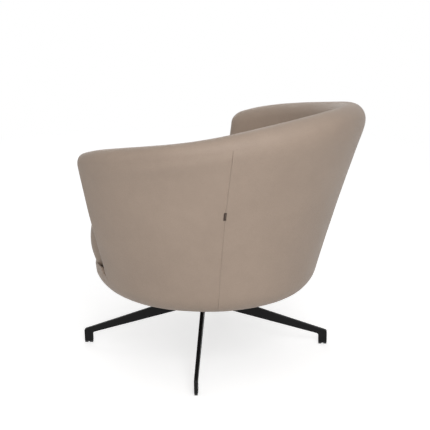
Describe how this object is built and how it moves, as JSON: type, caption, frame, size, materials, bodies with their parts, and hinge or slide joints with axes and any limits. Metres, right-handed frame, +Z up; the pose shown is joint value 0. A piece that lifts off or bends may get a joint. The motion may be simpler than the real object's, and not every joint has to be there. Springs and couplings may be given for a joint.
{
  "type": "swivel lounge chair",
  "caption": "Leather tub lounge chair with a slanting rounded rim, open front and loose crowned seat cushion, on a swivelling base of flat black steel blades.",
  "frame": {"origin": "centre of the bounding box's footprint, on the floor under the chair", "axes": "+Z up; the chair faces -Y at rest, and the sitter's left is +X"},
  "size_m": [0.7252, 0.7353, 0.6811],
  "materials": {
    "taupe_leather": "semi-matt grained leather",
    "taupe_lining_leather": "semi-matt grained leather",
    "black_powder_coat": "satin black powder coat",
    "black_nylon": "matt moulded nylon",
    "zinc_plated_steel": "bright zinc plate",
    "birch_plywood": "raw birch plywood",
    "beech": "raw beech",
    "elastic_webbing": "woven elastic webbing",
    "deck_felt": "needled felt",
    "black_dust_cloth": "spun-bonded cloth",
    "dark_brown_leather": "smooth leather"
  },
  "bodies": {
    "base": {"hub_tube": "black_powder_coat", "hub_plug": "black_nylon", "leg_rear_left": "black_powder_coat", "leg_rear_right": "black_powder_coat", "leg_front_right": "black_powder_coat", "leg_front_left": "black_powder_coat", "glide_rear_left": "black_nylon", "glide_rear_right": "black_nylon", "glide_front_right": "black_nylon", "glide_front_left": "black_nylon", "lower_bush": "black_nylon", "upper_bush": "black_nylon", "lower_race": "zinc_plated_steel", "ball_cage": "zinc_plated_steel"},
    "seat": {"upper_race": "zinc_plated_steel", "spindle": "zinc_plated_steel", "retaining_washer": "zinc_plated_steel", "circlip": "zinc_plated_steel", "swivel_plate": "black_powder_coat", "plate_bolt_front_left": "zinc_plated_steel", "plate_bolt_rear_left": "zinc_plated_steel", "plate_bolt_front_right": "zinc_plated_steel", "plate_bolt_rear_right": "zinc_plated_steel", "tee_nut_front_left": "zinc_plated_steel", "tee_nut_rear_left": "zinc_plated_steel", "tee_nut_front_right": "zinc_plated_steel", "tee_nut_rear_right": "zinc_plated_steel", "base_panel": "birch_plywood", "seat_ring": "beech", "cross_strap_1": "elastic_webbing", "cross_strap_2": "elastic_webbing", "cross_strap_3": "elastic_webbing", "cross_strap_4": "elastic_webbing", "long_strap_1": "elastic_webbing", "long_strap_2": "elastic_webbing", "long_strap_3": "elastic_webbing", "seat_deck": "deck_felt", "dust_cover": "black_dust_cloth", "tub_core": "birch_plywood", "back_panel": "taupe_leather", "left_panel": "taupe_leather", "right_panel": "taupe_leather", "front_apron": "taupe_leather", "inner_back": "taupe_lining_leather", "inner_left": "taupe_lining_leather", "inner_right": "taupe_lining_leather", "rim_roll": "taupe_leather", "seat_cushion": "taupe_leather", "seam_tab": "dark_brown_leather"}
  },
  "joints": [
    {"name": "seat_swivel", "type": "hinge", "parent": "base", "child": "seat", "pos_m": [0, -0.06615, 0.157], "axis": [0, 0, 1], "continuous": true}
  ]
}
